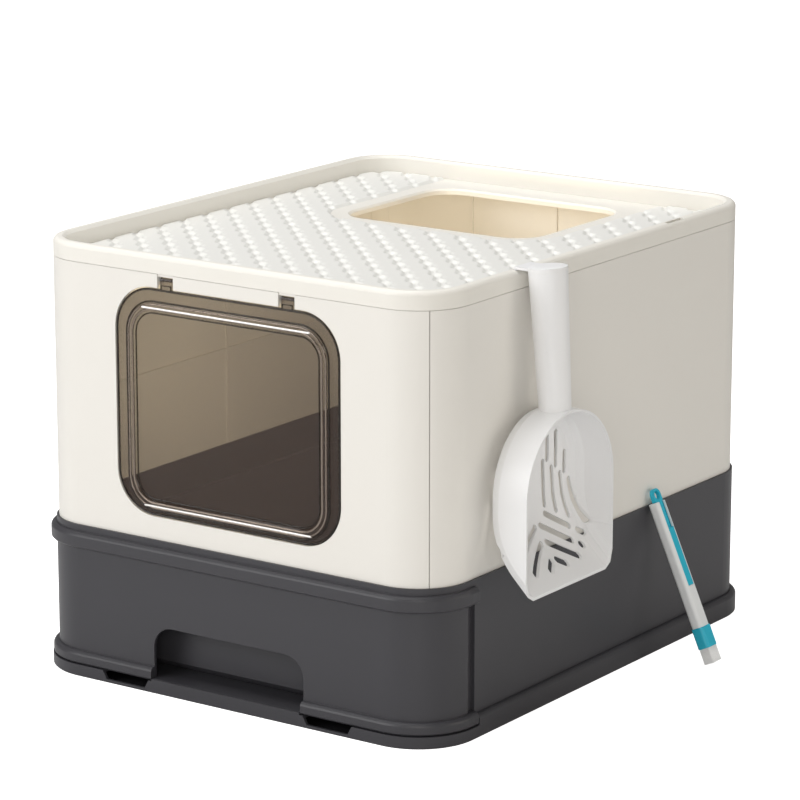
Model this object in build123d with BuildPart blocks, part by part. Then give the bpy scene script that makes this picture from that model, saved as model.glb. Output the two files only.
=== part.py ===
from build123d import *
import math
import os

# Drawer litter box. Millimetres, +Z up, the drawer faces -Y.
# The origin is on the floor, at the centre of the box's footprint.

# ---- base ----
BASE_WIDTH = 416.0
BASE_DEPTH = 508.0
BASE_TOP = 133.5
CORNER_RADIUS = 48.6
BASE_WALL = 3.0
SKIRT_REACH = 5.5
SKIRT_TOP = 19.5
SKIRT_WALL = 3.0
SKIRT_ROUNDING = 4.4
SKIRT_TUCK = 1.2
FLOOR_TOP = 12.4
FLOOR_THICKNESS = 4.0
PLINTH_TOP = 10.4
OPENING_DEPTH = 58.0
HEADER_HEIGHT = 19.5
JAMB_REACH = 16.0
JAMB_ROOT = 6.0
JAMB_GAP = 0.5
JAMB_WALL = 2.0
HEADER_BEAD_HEIGHT = 14.0
HEADER_BEAD_REACH = 5.0
BEAD_ROUNDING = 4.6
BEAD_CHAMFER = 1.6
SHELF_DEPTH = 5.0
UPSTAND_HEIGHT = 8.0
UPSTAND_WALL = 2.2
RIB_WALL = 2.0
RIB_FOOT = 2.0
RIB_PITCH = 150.0
FOOT_RADIUS = 12.0
RUNNER_WIDTH = 8.0
RUNNER_HEIGHT = 0.6
RUNNER_SPACING = 300.0
RUNNER_INSET = 19.0
NOTCH_TOP_WIDTH = 50.0
NOTCH_BOTTOM_WIDTH = 41.0
NOTCH_SILL = 3.0
NOTCH_SPACING = 211.0
NOTCH_DEPTH = 8.0
LIP_GROOVE = 0.8
LIP_GROOVE_INSET = 2.0

# ---- drawer ----
RUNNING_GAP = 0.3
REVEAL = 0.6
FASCIA_WALL = 3.0
FASCIA_BEAD_HEIGHT = 11.0
FASCIA_BEAD_REACH = 5.0
HANDLE_WIDTH = 156.0
HANDLE_TOP = 58.0
HANDLE_RADIUS = 19.0
HANDLE_DEPTH = 26.0
TRAY_SIDE_GAP = 1.6
TRAY_REAR_GAP = 4.0
TRAY_WALL = 2.5
TRAY_CORNER = 40.0
TRAY_FOOT_CHAMFER = 6.0
TRAY_RIM_WIDTH = 4.0
TRAY_RIM_DROP = 6.0
SHELF_THICKNESS = 2.4
HOOK_LIP_DROP = 5.0
HOOK_LIP_WALL = 1.8
FRONT_RIB_SPACING = 250.0

# ---- hood ----
HOOD_SETBACK = 2.0
HOOD_HEIGHT = 227.6
HOOD_WALL = 2.5
SEAM_GAP = 0.5
FIT = 0.3
LAP_LENGTH = 8.0
LAP_WALL = 2.0
HOOD_RIB_DEPTH = 2.0
HOOD_RIB_WALL = 1.8
BACK_RIB_PITCH = 93.0
SIDE_RIB_RISE = 95.5
SIDE_RIB_Y = 13.0

# ---- flap ----
FLAP_WIDTH = 229.0
FLAP_SILL = 20.9
FLAP_HEAD = 12.6
FLAP_CORNER = 37.0
FLAP_GAP = 1.0
FLAP_PLATE = 2.4
FLAP_FLUSH = 0.6
FLAP_FRAME = 19.5
FLAP_FOOT_FRAME = 12.6
FLAP_PANEL_CORNER = 20.0
FLAP_BEAD_WIDTH = 8.0
FLAP_BEAD_HEIGHT = 1.6
PIN_DROP = 5.1
PIN_SINK = 4.0
PIN_DIAMETER = 2.5
PIN_CLEARANCE = 0.05
BARREL_RADIUS = 2.8
BARREL_CLEARANCE = 0.1
TAB_WIDTH = 12.0
TAB_THICKNESS = 2.1
TAB_ROOT = 3.0
TAB_SPACING = 124.0
TAB_SIDE_GAP = 2.2
BOSS_WIDTH = 4.5
BOSS_REACH = 7.4
BOSS_HALF_HEIGHT = 4.0
SLOT_RECESS = 1.0
BAR_DEPTH = 4.5

# ---- lid ----
LID_HEIGHT = 15.3
LID_SEAM = 0.3
LID_WALL = 2.5
RIM_BAND = 10.5
RIM_ROUNDING = 4.8
RIM_BEVEL = 2.6
DECK_RECESS = 16.7
DECK_THICKNESS = 2.5
EXIT_WIDTH = 200.0
EXIT_DEPTH = 164.0
EXIT_REAR = 47.0
EXIT_CORNER = 28.0
EXIT_LIP = 5.5
EXIT_LIP_WALL = 2.4
EXIT_ROUNDING = 1.8
LOCATING_DROP = 7.0
LOCATING_FRONT_GAP = 176.0
LOCATING_RIB = 2.0
LOCATING_RIB_PITCH = 120.0
LOCATING_RIB_RISE = 4.0
SLOT_LENGTH = 26.0
SLOT_WIDTH = 3.4
SLOT_INSET = 4.3
SLOT_SPACING = 238.0

# ---- scoop ----
BOWL_HALF_WIDTH = 66.0
BOWL_STANDOFF = 4.0
BOWL_DEPTH = 38.0
BOWL_HEIGHT = 147.0
BOWL_BEND_RADIUS = 75.0
LIP_ANGLE = 45.0
BOWL_ROUNDING = 11.0
BOWL_WALL = 2.0
GRIP_REACH = 113.0
GRIP_TOP_OUT = 18.0
GRIP_TOP_RADIUS = 16.3
GRIP_FOOT_OUT = 26.5
GRIP_FOOT_RADIUS = 13.2
GRIP_ROOT = 8.0
GRIP_WALL = 2.2
CAP_THICKNESS = 4.4
CAP_DOME = 0.8
CAP_CROWN = 4.8
HOOK_WIDTH = 24.0
HOOK_THICKNESS = 2.2
HOOK_DROP = 6.0
PLUG_LENGTH = 8.0
SIEVE_SLOT = 5.0
SIEVE_PITCH = 13.2
SIEVE_FAN = 3.6
SIEVE_LENGTH = 37.0
SIEVE_DROP = 51.0
SIEVE_FALL = 7.7
DOME_SLOT_DROP = 50.0
DOME_REACH = 49.0
CHEVRON_DROP = 87.0
CHEVRON_SLOPE = 29.7
# row, and where the slot starts and ends, outwards from the scoop's middle
CHEVRON_SLOTS = (
    (0, 14.0, 42.0),
    (0, 51.0, 56.0),
    (1, 4.0, 37.0),
    (1, 45.0, 47.0),
    (2, 4.0, 33.0),
    (3, 4.0, 12.0),
)

# ---- brush ----
BRUSH_TILT = 23.9
BRUSH_Y = 79.0
BRUSH_FOOT_OUT = 64.6
BRUSH_FOOT_LIFT = 2.3
BRISTLE_LENGTH = 14.0
BRISTLE_ROOT = 2.5
FERRULE_LENGTH = 18.5
FERRULE_WIDTH = 16.4
FERRULE_THICKNESS = 12.4
HANDLE_LENGTH = 114.0
HANDLE_SIDE = 15.0
HANDLE_THICKNESS = 11.0
HANDLE_WALL = 1.8
HANDLE_ROUNDING = 3.6
HANDLE_BEVEL = 0.5
WINDOW_FOOT = 37.0
WINDOW_WIDTH = 8.6
CORE_STEP = 24.0
CORE_GAP = 0.2
CORE_END_GAP = 1.0
LOOP_HEIGHT = 12.0
LOOP_WIDTH = 12.0
LOOP_THICKNESS = 2.2
LOOP_DEPTH = 3.6
LOOP_SHIFT = 1.2
BRISTLE_WIDTH = 14.0
BRISTLE_THICKNESS = 10.0
SOCKET_GAP = 0.15
FERRULE_NECK = 5.0
STRAND_PITCH = 0.66
STRAND_RADIUS = 0.26

os.makedirs("parts", exist_ok=True)

# ---- worked-out places ----
ARC_X = BASE_WIDTH / 2 - CORNER_RADIUS
ARC_Y = BASE_DEPTH / 2 - CORNER_RADIUS
OVERSIZE = 60.0
FUSE = 0.3
HOOD_TOP = BASE_TOP + HOOD_HEIGHT
OPENING_TOP = BASE_TOP - HEADER_HEIGHT
OPENING_REAR_Y = OPENING_DEPTH - BASE_DEPTH / 2
FASCIA_BOTTOM = PLINTH_TOP + REVEAL
FASCIA_TOP = OPENING_TOP - REVEAL
FLOOR_UNDERSIDE = FLOOR_TOP - FLOOR_THICKNESS
JAMB_FRONT_Y = OPENING_REAR_Y - JAMB_REACH
TRAY_BOTTOM = FLOOR_TOP + RUNNER_HEIGHT + RUNNING_GAP
TRAY_TOP = FASCIA_TOP - SHELF_THICKNESS
TRAY_FRONT_Y = HANDLE_DEPTH - BASE_DEPTH / 2
TRAY_REAR_Y = BASE_DEPTH / 2 - BASE_WALL - TRAY_REAR_GAP - TRAY_RIM_WIDTH
TRAY_WIDTH = BASE_WIDTH - 2 * (BASE_WALL + JAMB_GAP + JAMB_WALL + TRAY_SIDE_GAP + TRAY_RIM_WIDTH)
LID_BOTTOM = HOOD_TOP + LID_SEAM
LID_TOP = LID_BOTTOM + LID_HEIGHT
DECK_TOP = LID_TOP - DECK_RECESS
DECK_UNDERSIDE = DECK_TOP - DECK_THICKNESS
LIP_FOOT = LID_BOTTOM - LOCATING_DROP
LAP_FOOT = BASE_TOP + UPSTAND_HEIGHT + REVEAL
LAP_HEAD = LIP_FOOT - REVEAL
FLAP_BOTTOM = BASE_TOP + FLAP_SILL
FLAP_TOP = HOOD_TOP - FLAP_HEAD
FLAP_PANEL_WIDTH = FLAP_WIDTH - 2 * FLAP_FRAME
FLAP_PANEL_HEIGHT = FLAP_TOP - FLAP_BOTTOM - FLAP_FRAME - FLAP_FOOT_FRAME
FLAP_PANEL_Z = FLAP_BOTTOM + FLAP_FOOT_FRAME + FLAP_PANEL_HEIGHT / 2
PIN_Z = HOOD_TOP - PIN_DROP
PIN_LENGTH = TAB_WIDTH + 2 * TAB_SIDE_GAP + 2 * BOSS_WIDTH
SCOOP_Y = -SLOT_SPACING / 2
CAP_BOTTOM = LID_TOP + FIT
BOWL_TOP = CAP_BOTTOM - GRIP_REACH
BOWL_SHOULDER = BOWL_TOP - BOWL_HALF_WIDTH
BOWL_LIP = BOWL_TOP - BOWL_HEIGHT
BOWL_BACK_X = BASE_WIDTH / 2 + BOWL_STANDOFF
BOWL_RIM_X = BOWL_BACK_X + BOWL_DEPTH
HEEL_CORNER_Z = BOWL_LIP + BOWL_DEPTH / math.tan(math.radians(LIP_ANGLE))
HEEL_Z = HEEL_CORNER_Z + BOWL_BEND_RADIUS * math.tan(math.radians(LIP_ANGLE / 2))
GRIP_TOP_X = BASE_WIDTH / 2 + GRIP_TOP_OUT
GRIP_FOOT_X = BASE_WIDTH / 2 + GRIP_FOOT_OUT
GRIP_FOOT_Z = BOWL_TOP - GRIP_ROOT
BRUSH_FOOT_X = BASE_WIDTH / 2 + BRUSH_FOOT_OUT


def ease_top(part, rounding):
    """Round a part's top edge over in three flats, which keeps its faces few."""
    top = part.faces().sort_by(Axis.Z)[-1].center().Z
    first = rounding * (1 - 0.5**0.5) * 2
    chamfer(part.faces().sort_by(Axis.Z)[-1].edges(), length=first)
    rings = part.edges().filter_by_position(Axis.Z, top - first - FUSE / 2, top + FUSE / 2)
    rings = rings.group_by(Axis.Z)
    chamfer(rings[0] + rings[-1], length=first / 3)


def outline(inset=0.0, mode=Mode.ADD):
    """The base's rounded outline, drawn in by inset."""
    return RectangleRounded(
        BASE_WIDTH - 2 * inset, BASE_DEPTH - 2 * inset, CORNER_RADIUS - inset, mode=mode
    )


def front_zone(rear_y, mode=Mode.ADD):
    """All the ground in front of rear_y."""
    with Locations((0, rear_y)):
        return Rectangle(
            BASE_WIDTH + 2 * OVERSIZE, BASE_DEPTH, align=(Align.CENTER, Align.MAX), mode=mode
        )


def tray_outline(inset=0.0, mode=Mode.ADD):
    """The tray's rounded outline at its top, drawn in by inset."""
    with Locations((0, (TRAY_FRONT_Y + TRAY_REAR_Y) / 2)):
        return RectangleRounded(
            TRAY_WIDTH - 2 * inset,
            TRAY_REAR_Y - TRAY_FRONT_Y - 2 * inset,
            TRAY_CORNER - inset,
            mode=mode,
        )


def front_bead(low, height, reach, rear_y):
    """A rounded moulding round the front and both front corners."""
    with BuildPart() as bead:
        with BuildSketch(Plane.XY.offset(low)):
            outline(-reach)
        extrude(amount=height)
        ease_top(bead, BEAD_ROUNDING)
        chamfer(bead.faces().sort_by(Axis.Z)[0].edges(), length=BEAD_CHAMFER)
        with BuildSketch(Plane.XY.offset(low)):
            outline(FASCIA_WALL)
        extrude(amount=height, mode=Mode.SUBTRACT)
        with BuildSketch(Plane.XY.offset(low)):
            front_zone(rear_y)
        extrude(amount=height, mode=Mode.INTERSECT)
    return bead.part


def hood_band(low, high, outer, inner):
    """A ring along the hood's outline, between two insets."""
    with BuildPart() as band:
        with BuildSketch(Plane.XY.offset(low)):
            outline(HOOD_SETBACK + outer)
            outline(HOOD_SETBACK + inner, mode=Mode.SUBTRACT)
        extrude(amount=high - low)
    return band.part


def kept_in(solid, corners, shrink=0.0):
    """The part of a solid that stands over a polygon on the floor."""
    with BuildPart() as kept:
        add(solid)
        with BuildSketch():
            Polygon(*corners, align=None)
            if shrink:
                offset(amount=-shrink, kind=Kind.INTERSECTION)
        extrude(amount=LID_TOP + OVERSIZE, mode=Mode.INTERSECT)
    return kept.part


def corner_patch(x_side, y_side, back, ahead):
    """A patch of floor under a hood corner, from back to ahead of its seam."""
    run = CORNER_RADIUS + OVERSIZE
    seam = Vector(x_side, y_side).normalized()
    along = Vector(x_side, -y_side).normalized()
    centre = Vector(x_side * ARC_X, y_side * ARC_Y)
    spots = [along * back, along * ahead, along * ahead + seam * run, along * back + seam * run]
    return [tuple(centre + spot)[:2] for spot in spots]


def hood_panel(corners):
    """One wall of the hood, over its share of the outline."""
    wall = hood_band(BASE_TOP, HOOD_TOP, 0.0, HOOD_WALL)
    return kept_in(wall, corners, SEAM_GAP / 2)


def seam_laps(y_side):
    """The strips of a front or back panel that lie behind its corner seams."""
    root = hood_band(LAP_FOOT, LAP_HEAD, HOOD_WALL - FUSE, HOOD_WALL + FIT + LAP_WALL)
    strip = hood_band(LAP_FOOT, LAP_HEAD, HOOD_WALL + FIT, HOOD_WALL + FIT + LAP_WALL)
    with BuildPart() as laps:
        for x_side in (-1, 1):
            add(kept_in(root, corner_patch(x_side, y_side, -LAP_LENGTH, -SEAM_GAP / 2)))
            add(kept_in(strip, corner_patch(x_side, y_side, -LAP_LENGTH, LAP_LENGTH)))
    return laps.part


def wall_rib(corners, low, high):
    """A rib on the inside of the hood, over a patch of floor."""
    band = hood_band(low, high, HOOD_WALL - FUSE, HOOD_WALL + HOOD_RIB_DEPTH)
    return kept_in(band, corners)


def patch(low_x, high_x, low_y, high_y):
    """The corners of a rectangle on the floor."""
    return [(low_x, low_y), (high_x, low_y), (high_x, high_y), (low_x, high_y)]


# ================= base floor: plinth, skirts, runners =================
with BuildPart() as base_floor:
    with BuildSketch():
        outline(-SKIRT_REACH)
    extrude(amount=SKIRT_TOP)
    ease_top(base_floor, SKIRT_ROUNDING)
    chamfer(base_floor.faces().sort_by(Axis.Z)[0].edges(), length=SKIRT_TUCK)
    with BuildSketch(Plane.XY.offset(FLOOR_TOP)):
        outline(-FIT)
        front_zone(OPENING_REAR_Y)
    extrude(amount=SKIRT_TOP, mode=Mode.SUBTRACT)
    # under the drawer's bead the plinth is lower, but not at the handle
    with BuildSketch(Plane.XY.offset(PLINTH_TOP)):
        front_zone(OPENING_REAR_Y)
        outline(FASCIA_WALL + FIT, mode=Mode.SUBTRACT)
        Rectangle(HANDLE_WIDTH - 2 * REVEAL, BASE_DEPTH + OVERSIZE, mode=Mode.SUBTRACT)
    extrude(amount=SKIRT_TOP, mode=Mode.SUBTRACT)
    with BuildSketch():
        outline(SKIRT_WALL - SKIRT_REACH)
    extrude(amount=FLOOR_UNDERSIDE, mode=Mode.SUBTRACT)
    # two finger notches in the plinth's front
    with BuildSketch(Plane.XZ.offset(BASE_DEPTH / 2 + SKIRT_REACH + REVEAL)):
        with GridLocations(NOTCH_SPACING, 0, 2, 1):
            Polygon(
                (-NOTCH_BOTTOM_WIDTH / 2, NOTCH_SILL),
                (NOTCH_BOTTOM_WIDTH / 2, NOTCH_SILL),
                (NOTCH_TOP_WIDTH / 2, PLINTH_TOP + REVEAL),
                (-NOTCH_TOP_WIDTH / 2, PLINTH_TOP + REVEAL),
                align=None,
            )
    extrude(amount=-(NOTCH_DEPTH + REVEAL), mode=Mode.SUBTRACT)
    # fine groove along the ledge under the handle
    with BuildSketch(Plane.XY.offset(FLOOR_TOP - LIP_GROOVE)):
        with Locations((0, LIP_GROOVE_INSET - BASE_DEPTH / 2 - SKIRT_REACH)):
            Rectangle(HANDLE_WIDTH, LIP_GROOVE)
    extrude(amount=SKIRT_TOP, mode=Mode.SUBTRACT)
    with BuildSketch(Plane.XY.offset(RIB_FOOT)):
        with GridLocations(RIB_PITCH, 0, 3, 1):
            Rectangle(RIB_WALL, BASE_DEPTH)
        with GridLocations(0, RIB_PITCH, 1, 3):
            Rectangle(BASE_WIDTH, RIB_WALL)
    extrude(amount=FLOOR_UNDERSIDE - RIB_FOOT)
    with BuildSketch():
        Circle(FOOT_RADIUS)
    extrude(amount=FLOOR_UNDERSIDE)
    with BuildSketch(Plane.XY.offset(FLOOR_TOP)):
        with GridLocations(RUNNER_SPACING, 0, 2, 1):
            Rectangle(RUNNER_WIDTH, BASE_DEPTH - 2 * RUNNER_INSET)
    extrude(amount=RUNNER_HEIGHT)
base_floor.part.label = "base_floor"
export_step(base_floor.part, "parts/base_floor.step")

# ================= base shell: walls, header, jambs, upstand =================
with BuildPart() as base_shell:
    with BuildSketch(Plane.XY.offset(FLOOR_TOP)):
        outline()
        outline(BASE_WALL, mode=Mode.SUBTRACT)
    extrude(amount=BASE_TOP - FLOOR_TOP)
    with BuildSketch(Plane.XY.offset(FLOOR_TOP)):
        front_zone(OPENING_REAR_Y)
    extrude(amount=OPENING_TOP - FLOOR_TOP, mode=Mode.SUBTRACT)
    # jambs stand behind the ends of the drawer's face
    with BuildSketch(Plane.XY.offset(FLOOR_TOP)):
        outline(BASE_WALL + JAMB_GAP)
        outline(BASE_WALL + JAMB_GAP + JAMB_WALL, mode=Mode.SUBTRACT)
        with Locations((0, JAMB_FRONT_Y)):
            Rectangle(
                BASE_WIDTH,
                JAMB_REACH + JAMB_ROOT,
                align=(Align.CENTER, Align.MIN),
                mode=Mode.INTERSECT,
            )
    extrude(amount=BASE_TOP - FLOOR_TOP)
    with BuildSketch(Plane.XY.offset(FLOOR_TOP)):
        outline(BASE_WALL / 2)
        outline(BASE_WALL + JAMB_GAP + JAMB_WALL, mode=Mode.SUBTRACT)
        with Locations((0, OPENING_REAR_Y)):
            Rectangle(BASE_WIDTH, JAMB_ROOT, align=(Align.CENTER, Align.MIN), mode=Mode.INTERSECT)
    extrude(amount=BASE_TOP - FLOOR_TOP)
    # the hood's walls stand on this top edge, outside its upstand
    with BuildSketch(Plane.XY.offset(BASE_TOP - SHELF_DEPTH)):
        outline(BASE_WALL / 2)
        outline(HOOD_SETBACK + HOOD_WALL + FIT + UPSTAND_WALL, mode=Mode.SUBTRACT)
    extrude(amount=SHELF_DEPTH)
    with BuildSketch(Plane.XY.offset(BASE_TOP - SHELF_DEPTH)):
        outline(HOOD_SETBACK + HOOD_WALL + FIT)
        outline(HOOD_SETBACK + HOOD_WALL + FIT + UPSTAND_WALL, mode=Mode.SUBTRACT)
    extrude(amount=SHELF_DEPTH + UPSTAND_HEIGHT)
    add(front_bead(OPENING_TOP, HEADER_BEAD_HEIGHT, HEADER_BEAD_REACH, OPENING_REAR_Y))
base_shell.part.label = "base_shell"
export_step(base_shell.part, "parts/base_shell.step")

# ================= drawer tray =================
def tray_blank(inset):
    """The tray's full form, drawn in by inset."""
    with BuildPart() as blank:
        with BuildSketch(Plane.XY.offset(TRAY_BOTTOM + inset)):
            tray_outline(inset)
        extrude(amount=TRAY_TOP - TRAY_BOTTOM - inset)
        chamfer(blank.faces().sort_by(Axis.Z)[0].edges(), length=TRAY_FOOT_CHAMFER)
    return blank.part


with BuildPart() as drawer_tray:
    add(tray_blank(0.0))
    add(tray_blank(TRAY_WALL), mode=Mode.SUBTRACT)
    with BuildSketch(Plane.XY.offset(TRAY_TOP - TRAY_WALL)):
        tray_outline(-TRAY_RIM_WIDTH)
        tray_outline(TRAY_WALL / 2, mode=Mode.SUBTRACT)
    extrude(amount=TRAY_WALL)
    with BuildSketch(Plane.XY.offset(TRAY_TOP - TRAY_RIM_DROP)):
        tray_outline(-TRAY_RIM_WIDTH)
        tray_outline(TRAY_WALL / 2 - TRAY_RIM_WIDTH, mode=Mode.SUBTRACT)
    extrude(amount=TRAY_RIM_DROP)
drawer_tray.part.label = "drawer_tray"
export_step(drawer_tray.part, "parts/drawer_tray.step")

# ================= drawer front =================
with BuildPart() as drawer_front:
    with BuildSketch(Plane.XY.offset(FASCIA_BOTTOM)):
        outline()
        outline(FASCIA_WALL, mode=Mode.SUBTRACT)
        front_zone(-ARC_Y, mode=Mode.INTERSECT)
    extrude(amount=FASCIA_TOP - FASCIA_BOTTOM)
    add(front_bead(FASCIA_BOTTOM, FASCIA_BEAD_HEIGHT, FASCIA_BEAD_REACH, OPENING_REAR_Y - REVEAL))
    # shelf that rests on the tray's rim, with a lip hooked inside the tray
    with BuildSketch(Plane.XY.offset(TRAY_TOP)):
        outline(FASCIA_WALL / 2)
        tray_outline(TRAY_WALL + FIT + HOOK_LIP_WALL, mode=Mode.SUBTRACT)
        front_zone(JAMB_FRONT_Y - REVEAL, mode=Mode.INTERSECT)
    extrude(amount=SHELF_THICKNESS)
    with BuildSketch(Plane.XY.offset(TRAY_TOP - HOOK_LIP_DROP)):
        tray_outline(TRAY_WALL + 2 * FIT)
        tray_outline(TRAY_WALL + FIT + HOOK_LIP_WALL, mode=Mode.SUBTRACT)
        front_zone(JAMB_FRONT_Y - REVEAL, mode=Mode.INTERSECT)
    extrude(amount=HOOK_LIP_DROP + FUSE)
    # ribs from the face back to the tray's rim
    rib_length = HANDLE_DEPTH - TRAY_RIM_WIDTH - FIT - FASCIA_WALL / 2
    with BuildSketch(Plane.XY.offset(FASCIA_BOTTOM + FASCIA_BEAD_HEIGHT)):
        with Locations((0, FASCIA_WALL / 2 - BASE_DEPTH / 2)):
            with GridLocations(FRONT_RIB_SPACING, 0, 2, 1):
                Rectangle(RIB_WALL, rib_length, align=(Align.CENTER, Align.MIN))
    extrude(amount=TRAY_TOP - FASCIA_BOTTOM - FASCIA_BEAD_HEIGHT + FUSE)
    with BuildSketch(Plane.XZ.offset(BASE_DEPTH / 2 - FASCIA_WALL - REVEAL)):
        with Locations((0, FASCIA_BOTTOM)):
            RectangleRounded(HANDLE_WIDTH, 2 * (HANDLE_TOP - FASCIA_BOTTOM), HANDLE_RADIUS)
    extrude(amount=OVERSIZE, mode=Mode.SUBTRACT)
drawer_front.part.label = "drawer_front"
export_step(drawer_front.part, "parts/drawer_front.step")

# ================= hood panels =================
REACH = CORNER_RADIUS + OVERSIZE


def end_zone(y_side):
    """The floor under the front or back panel, out to its corner seams."""
    inner = y_side * ARC_Y
    outer = y_side * (ARC_Y + REACH)
    return [(-ARC_X, inner), (ARC_X, inner), (ARC_X + REACH, outer), (-ARC_X - REACH, outer)]


def side_zone(x_side):
    """The floor under the left or right panel, out to its corner seams."""
    inner = x_side * ARC_X
    outer = x_side * (ARC_X + REACH)
    return [(inner, -ARC_Y), (inner, ARC_Y), (outer, ARC_Y + REACH), (outer, -ARC_Y - REACH)]


# the plane of the hood's front face: x across, y up, z outwards, from the pins' height
FACE = Plane(origin=(0, HOOD_SETBACK - BASE_DEPTH / 2, PIN_Z), x_dir=(1, 0, 0), z_dir=(0, -1, 0))
PIN_ORIGIN = FACE.offset(-PIN_SINK).origin
FLAP_HEIGHT = FLAP_TOP - FLAP_BOTTOM
FLAP_CENTRE = (FLAP_TOP + FLAP_BOTTOM) / 2 - PIN_Z
TAB_SLOT = TAB_WIDTH + 2 * TAB_SIDE_GAP
SLOT_CLEAR = PIN_Z + BARREL_RADIUS + FIT - FLAP_TOP


def pin_bore(radius, length):
    """A bore along both hinge pins."""
    with BuildPart() as bore:
        for x_side in (-1, 1):
            start = x_side * TAB_SPACING / 2 - length / 2
            with BuildSketch(Plane(origin=(start, PIN_ORIGIN.Y, PIN_ORIGIN.Z), z_dir=(1, 0, 0))):
                Circle(radius)
            extrude(amount=length)
    return bore.part


with BuildPart() as front_panel:
    add(hood_panel(end_zone(-1)))
    add(seam_laps(-1))
    with BuildSketch(FACE):
        with Locations((0, FLAP_CENTRE)):
            RectangleRounded(
                FLAP_WIDTH + 2 * FLAP_GAP, FLAP_HEIGHT + 2 * FLAP_GAP, FLAP_CORNER + FLAP_GAP
            )
        with Locations((0, FLAP_TOP - PIN_Z)):
            with GridLocations(TAB_SPACING, 0, 2, 1):
                Rectangle(TAB_SLOT, SLOT_CLEAR, align=(Align.CENTER, Align.MIN))
    extrude(amount=OVERSIZE / 2, both=True, mode=Mode.SUBTRACT)
    with BuildSketch(FACE.offset(-SLOT_RECESS)):
        with Locations((0, FLAP_TOP - PIN_Z)):
            with GridLocations(TAB_SPACING, 0, 2, 1):
                Rectangle(TAB_SLOT, OVERSIZE, align=(Align.CENTER, Align.MIN))
    extrude(amount=OVERSIZE, mode=Mode.SUBTRACT)
    # a bar over each slot, between its bosses
    with BuildSketch(FACE.offset(-SLOT_RECESS)):
        with Locations((0, SLOT_CLEAR + FLAP_TOP - PIN_Z)):
            with GridLocations(TAB_SPACING, 0, 2, 1):
                Rectangle(PIN_LENGTH, HOOD_TOP - FLAP_TOP - SLOT_CLEAR, align=(Align.CENTER, Align.MIN))
    extrude(amount=-BAR_DEPTH)
    with BuildSketch(FACE.offset(FUSE - HOOD_WALL)):
        for x_side in (-1, 1):
            with Locations((x_side * TAB_SPACING / 2, 0)):
                with GridLocations(TAB_SLOT + BOSS_WIDTH, 0, 2, 1):
                    Rectangle(BOSS_WIDTH, 2 * BOSS_HALF_HEIGHT)
    extrude(amount=HOOD_WALL - FUSE - BOSS_REACH)
    add(pin_bore(PIN_DIAMETER / 2 + PIN_CLEARANCE, PIN_LENGTH), mode=Mode.SUBTRACT)
front_panel.part.label = "front_panel"
export_step(front_panel.part, "parts/front_panel.step")

with BuildPart() as back_panel:
    add(hood_panel(end_zone(1)))
    add(seam_laps(1))
    for x in (-BACK_RIB_PITCH, 0, BACK_RIB_PITCH):
        strip = patch(x - HOOD_RIB_WALL / 2, x + HOOD_RIB_WALL / 2, ARC_Y, BASE_DEPTH)
        add(wall_rib(strip, LAP_FOOT, LAP_HEAD))
back_panel.part.label = "back_panel"
export_step(back_panel.part, "parts/back_panel.step")


def side_panel(x_side):
    """A side wall of the hood, with the two ribs inside it."""
    edge = sorted((x_side * ARC_X, x_side * (ARC_X + REACH)))
    upright = patch(*edge, SIDE_RIB_Y - HOOD_RIB_WALL / 2, SIDE_RIB_Y + HOOD_RIB_WALL / 2)
    with BuildPart() as panel:
        add(hood_panel(side_zone(x_side)))
        add(wall_rib(upright, LAP_FOOT, LAP_HEAD))
        low = BASE_TOP + SIDE_RIB_RISE
        add(wall_rib(patch(*edge, -ARC_Y, ARC_Y), low, low + HOOD_RIB_WALL))
    return panel.part


for side, x_side in (("left", -1), ("right", 1)):
    panel = side_panel(x_side)
    panel.label = side + "_panel"
    export_step(panel, "parts/" + side + "_panel.step")

# ================= flap door and its pins =================
with BuildPart() as flap_door:
    with BuildSketch(FACE.offset(-FLAP_FLUSH)):
        with Locations((0, FLAP_CENTRE)):
            RectangleRounded(FLAP_WIDTH, FLAP_HEIGHT, FLAP_CORNER)
    extrude(amount=-FLAP_PLATE)
    # rounded bead round the clear panel
    with BuildSketch(FACE.offset(-FLAP_FLUSH)):
        with Locations((0, FLAP_PANEL_Z - PIN_Z)):
            RectangleRounded(
                FLAP_PANEL_WIDTH + 2 * FLAP_BEAD_WIDTH,
                FLAP_PANEL_HEIGHT + 2 * FLAP_BEAD_WIDTH,
                FLAP_PANEL_CORNER + FLAP_BEAD_WIDTH,
            )
            RectangleRounded(
                FLAP_PANEL_WIDTH, FLAP_PANEL_HEIGHT, FLAP_PANEL_CORNER, mode=Mode.SUBTRACT
            )
    extrude(amount=FLAP_BEAD_HEIGHT)
    crest = flap_door.faces().sort_by(Axis.Y)[0]
    chamfer(crest.edges(), length=0.7 * FLAP_BEAD_HEIGHT)
    # hinge tabs and their barrels
    tab_face = BARREL_RADIUS - PIN_SINK
    with BuildSketch(FACE.offset(tab_face)):
        with Locations((0, 0)):
            with GridLocations(TAB_SPACING, 0, 2, 1):
                Rectangle(TAB_WIDTH, PIN_Z - FLAP_TOP + TAB_ROOT, align=(Align.CENTER, Align.MAX))
    extrude(amount=-TAB_THICKNESS)
    add(pin_bore(BARREL_RADIUS, TAB_WIDTH))
    add(pin_bore(PIN_DIAMETER / 2 + BARREL_CLEARANCE, TAB_WIDTH), mode=Mode.SUBTRACT)
flap_door.part.label = "flap_door"
export_step(flap_door.part, "parts/flap_door.step")

for side, x_side in (("left", -1), ("right", 1)):
    with BuildPart() as flap_pin:
        start = x_side * TAB_SPACING / 2 - PIN_LENGTH / 2
        with BuildSketch(Plane(origin=(start, PIN_ORIGIN.Y, PIN_ORIGIN.Z), z_dir=(1, 0, 0))):
            Circle(PIN_DIAMETER / 2)
        extrude(amount=PIN_LENGTH)
    flap_pin.part.label = "flap_pin_" + side
    export_step(flap_pin.part, "parts/flap_pin_" + side + ".step")

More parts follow.
